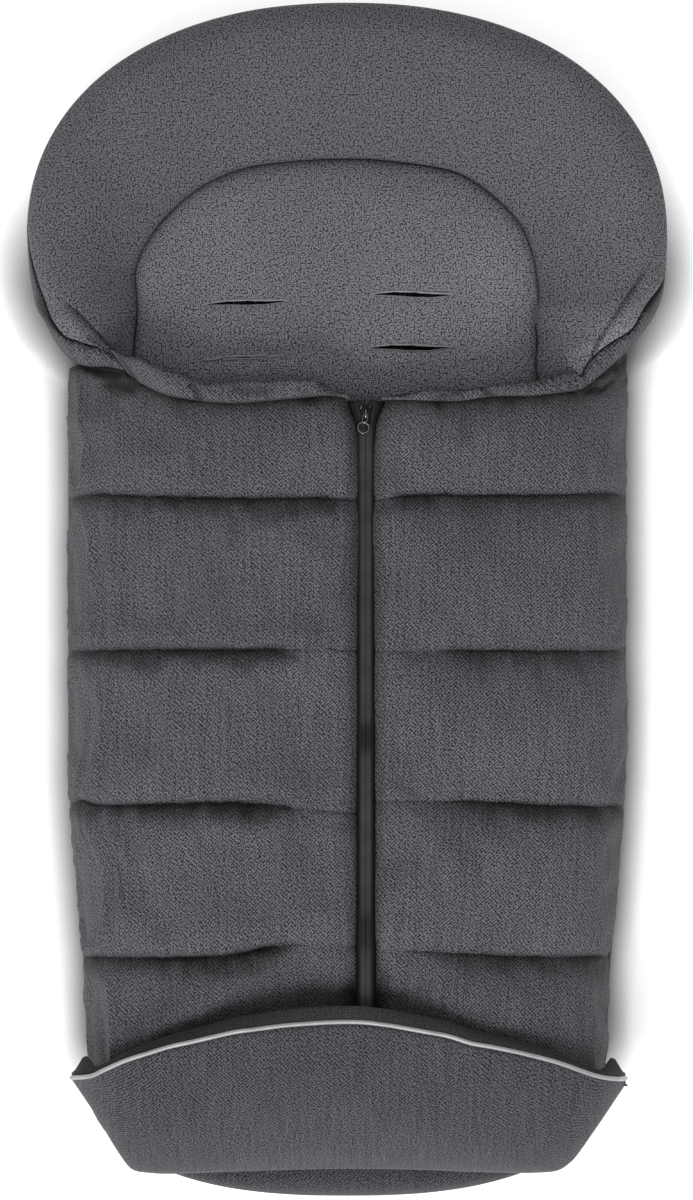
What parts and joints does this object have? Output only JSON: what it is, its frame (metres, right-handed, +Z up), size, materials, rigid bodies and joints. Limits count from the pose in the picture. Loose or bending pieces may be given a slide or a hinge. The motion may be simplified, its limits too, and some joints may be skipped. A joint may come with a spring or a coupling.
{
  "type": "stroller footmuff",
  "caption": "Padded footmuff for a pushchair: a quilted zip-front bag with a head section, harness slots and a fold-back foot cover.",
  "frame": {"origin": "under the middle of the overall length and width, on the surface that the footmuff lies on", "axes": "+Y towards the head end, +X to the right seen from above with the head end up, +Z up, out of the front"},
  "size_m": [0.5128, 0.9568, 0.1196],
  "materials": {
    "twill": "matte grey melange twill",
    "fleece": "matte grey pebbled fleece",
    "wadding": "matte white polyester wadding",
    "proofed_lining": "satin proofed lining cloth",
    "coated_tape": "satin water-repellent coating",
    "nylon": "satin",
    "black_metal": "satin black",
    "silver_piping": "satin retroreflective"
  },
  "bodies": {
    "back": {"back_shell": "twill", "back_wadding": "wadding", "back_lining": "fleece", "seat_pad_lower": "fleece", "crotch_slot_binding": "twill", "hip_left_slot_binding": "twill", "hip_right_slot_binding": "twill", "front_left_side_quilt": "twill", "front_right_side_quilt": "twill", "front_left_side_lining": "fleece", "front_right_side_lining": "fleece", "front_foot_quilt": "twill", "front_foot_lining": "fleece", "foot_gusset": "twill", "zip_lower_tape": "coated_tape", "zip_bottom_stop": "black_metal"},
    "hood": {"hood_shell": "twill", "hood_wadding": "wadding", "hood_lining": "fleece", "hood_rim_band": "twill", "seat_pad_upper": "fleece", "lower_left_slot_binding": "twill", "lower_right_slot_binding": "twill", "upper_left_slot_binding": "twill", "upper_right_slot_binding": "twill"},
    "left_flap": {"left_flap_quilt": "twill", "left_flap_lining": "fleece", "left_collar_band": "twill", "left_zip_tape": "coated_tape", "left_zip_coil": "nylon", "left_zip_top_stop": "black_metal"},
    "right_flap": {"right_flap_quilt": "twill", "right_flap_lining": "fleece", "right_collar_band": "twill", "right_zip_tape": "coated_tape", "right_zip_coil": "nylon", "right_zip_top_stop": "black_metal"},
    "slider": {"zip_slider": "black_metal"},
    "puller": {"zip_puller": "black_metal"},
    "foot_cover": {"foot_cover_shell": "twill", "foot_cover_lining": "proofed_lining", "foot_cover_piping": "silver_piping", "foot_cover_lip": "twill"}
  },
  "joints": [
    {"name": "hood_fold", "type": "hinge", "parent": "back", "child": "hood", "pos_m": [0, 0.172, 0.0149], "axis": [1, 0, 0], "range_deg": [0, 30]},
    {"name": "left_flap_fold", "type": "hinge", "parent": "back", "child": "left_flap", "pos_m": [-0.0845, -0.0815, 0.1054], "axis": [0.3796, -0.9252, 0], "range_deg": [0, 150]},
    {"name": "right_flap_fold", "type": "hinge", "parent": "back", "child": "right_flap", "pos_m": [0.0995, -0.0815, 0.1054], "axis": [0.329, 0.9443, 0], "range_deg": [0, 150]},
    {"name": "slider_travel", "type": "slide", "parent": "left_flap", "child": "slider", "axis": [0, -0.9999, 0.0123], "range_m": [0, 0.38]},
    {"name": "puller_swing", "type": "hinge", "parent": "slider", "child": "puller", "pos_m": [0.015, 0.14804, 0.09671], "axis": [-1, 0, 0], "range_deg": [0, 165]},
    {"name": "foot_cover_fold", "type": "hinge", "parent": "back", "child": "foot_cover", "pos_m": [0, -0.459, 0.0511], "axis": [1, 0, 0], "range_deg": [0, 100]}
  ]
}
